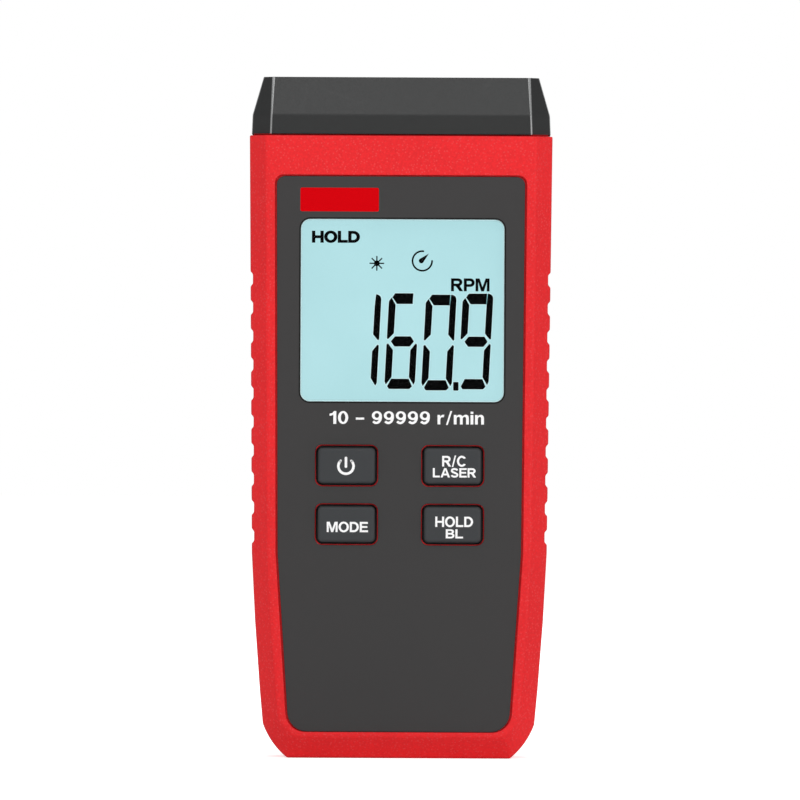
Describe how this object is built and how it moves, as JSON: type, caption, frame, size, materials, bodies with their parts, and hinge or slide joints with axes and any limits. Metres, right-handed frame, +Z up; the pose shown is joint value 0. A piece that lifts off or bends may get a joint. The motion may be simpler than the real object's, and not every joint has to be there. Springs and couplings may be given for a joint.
{
  "type": "laser tachometer",
  "caption": "Pocket laser tachometer with a tapered two-shell housing, notched grip, recessed display, rubber keys, sloping head cap with optics, and a sliding battery door.",
  "frame": {"origin": "middle of the flat base, on the surface the meter stands on, midway between the key faces and the back", "axes": "+Z up along the meter towards its optics, -Y out of the display, +X to the right as the display is read"},
  "size_m": [0.062, 0.0288, 0.1395],
  "materials": {
    "red_housing": "fine spark-eroded moulding texture",
    "grey_cap": "satin moulded plastic",
    "grey_panel": "fine matt film",
    "clear_lens": "clear acrylic",
    "optic_filter": "dark red acrylic",
    "key_rubber": "matt silicone coating",
    "mat_rubber": "translucent silicone",
    "carbon_pill": "conductive rubber",
    "display_glass": "polariser film on glass",
    "white_plastic": "diffusing plastic",
    "led_resin": "clear resin",
    "strip_rubber": "layered conductive rubber",
    "board_laminate": "solder resist on laminate",
    "black_plastic": "moulded plastic",
    "can_metal": "drawn can",
    "screw_steel": "zinc plated",
    "turned_brass": "turned",
    "lens_glass": "polished",
    "cell_sleeve": "printed foil sleeve",
    "contact_nickel": "nickel plated spring steel"
  },
  "bodies": {
    "housing": {"front_shell": "red_housing", "rear_shell": "red_housing", "head_cap": "grey_cap", "face_panel": "grey_panel", "display_window": "clear_lens", "housing_screws": "screw_steel", "optic_window": "optic_filter", "laser_barrel": "turned_brass", "laser_lens": "lens_glass", "laser_diode": "turned_brass", "receiver_tube": "black_plastic", "receiver_lens": "lens_glass", "photodiode": "black_plastic", "optics_board": "board_laminate", "optics_screws": "screw_steel", "pin_header": "black_plastic", "display_cell": "display_glass", "display_frame": "white_plastic", "backlight_panel": "white_plastic", "backlight_leds": "led_resin", "contact_strip": "strip_rubber", "main_board": "board_laminate", "controller_chip": "black_plastic", "crystal": "can_metal", "capacitors": "can_metal", "board_screws": "screw_steel", "keypad_mat": "mat_rubber", "battery_left": "cell_sleeve", "battery_middle": "cell_sleeve", "battery_right": "cell_sleeve", "positive_contact": "contact_nickel", "negative_contact": "contact_nickel", "upper_bridge_contact": "contact_nickel", "lower_bridge_contact": "contact_nickel", "contact_springs": "contact_nickel"},
    "power_button": {"power_key": "key_rubber", "power_pill": "carbon_pill"},
    "mode_button": {"mode_key": "key_rubber", "mode_pill": "carbon_pill"},
    "laser_button": {"laser_key": "key_rubber", "laser_pill": "carbon_pill"},
    "hold_button": {"hold_key": "key_rubber", "hold_pill": "carbon_pill"},
    "door": {"battery_door": "red_housing"}
  },
  "joints": [
    {"name": "power_press", "type": "slide", "parent": "housing", "child": "power_button", "axis": [0, 1, 0], "range_m": [0, 0.001], "stiffness_N_per_m": 800, "springref_m": -0.0008, "deforming": ["keypad_mat"]},
    {"name": "mode_press", "type": "slide", "parent": "housing", "child": "mode_button", "axis": [0, 1, 0], "range_m": [0, 0.001], "stiffness_N_per_m": 800, "springref_m": -0.0008, "deforming": ["keypad_mat"]},
    {"name": "laser_press", "type": "slide", "parent": "housing", "child": "laser_button", "axis": [0, 1, 0], "range_m": [0, 0.001], "stiffness_N_per_m": 800, "springref_m": -0.0008, "deforming": ["keypad_mat"]},
    {"name": "hold_press", "type": "slide", "parent": "housing", "child": "hold_button", "axis": [0, 1, 0], "range_m": [0, 0.001], "stiffness_N_per_m": 800, "springref_m": -0.0008, "deforming": ["keypad_mat"]},
    {"name": "door_slide", "type": "slide", "parent": "housing", "child": "door", "axis": [0, 0, -1], "range_m": [0, 0.066]}
  ]
}
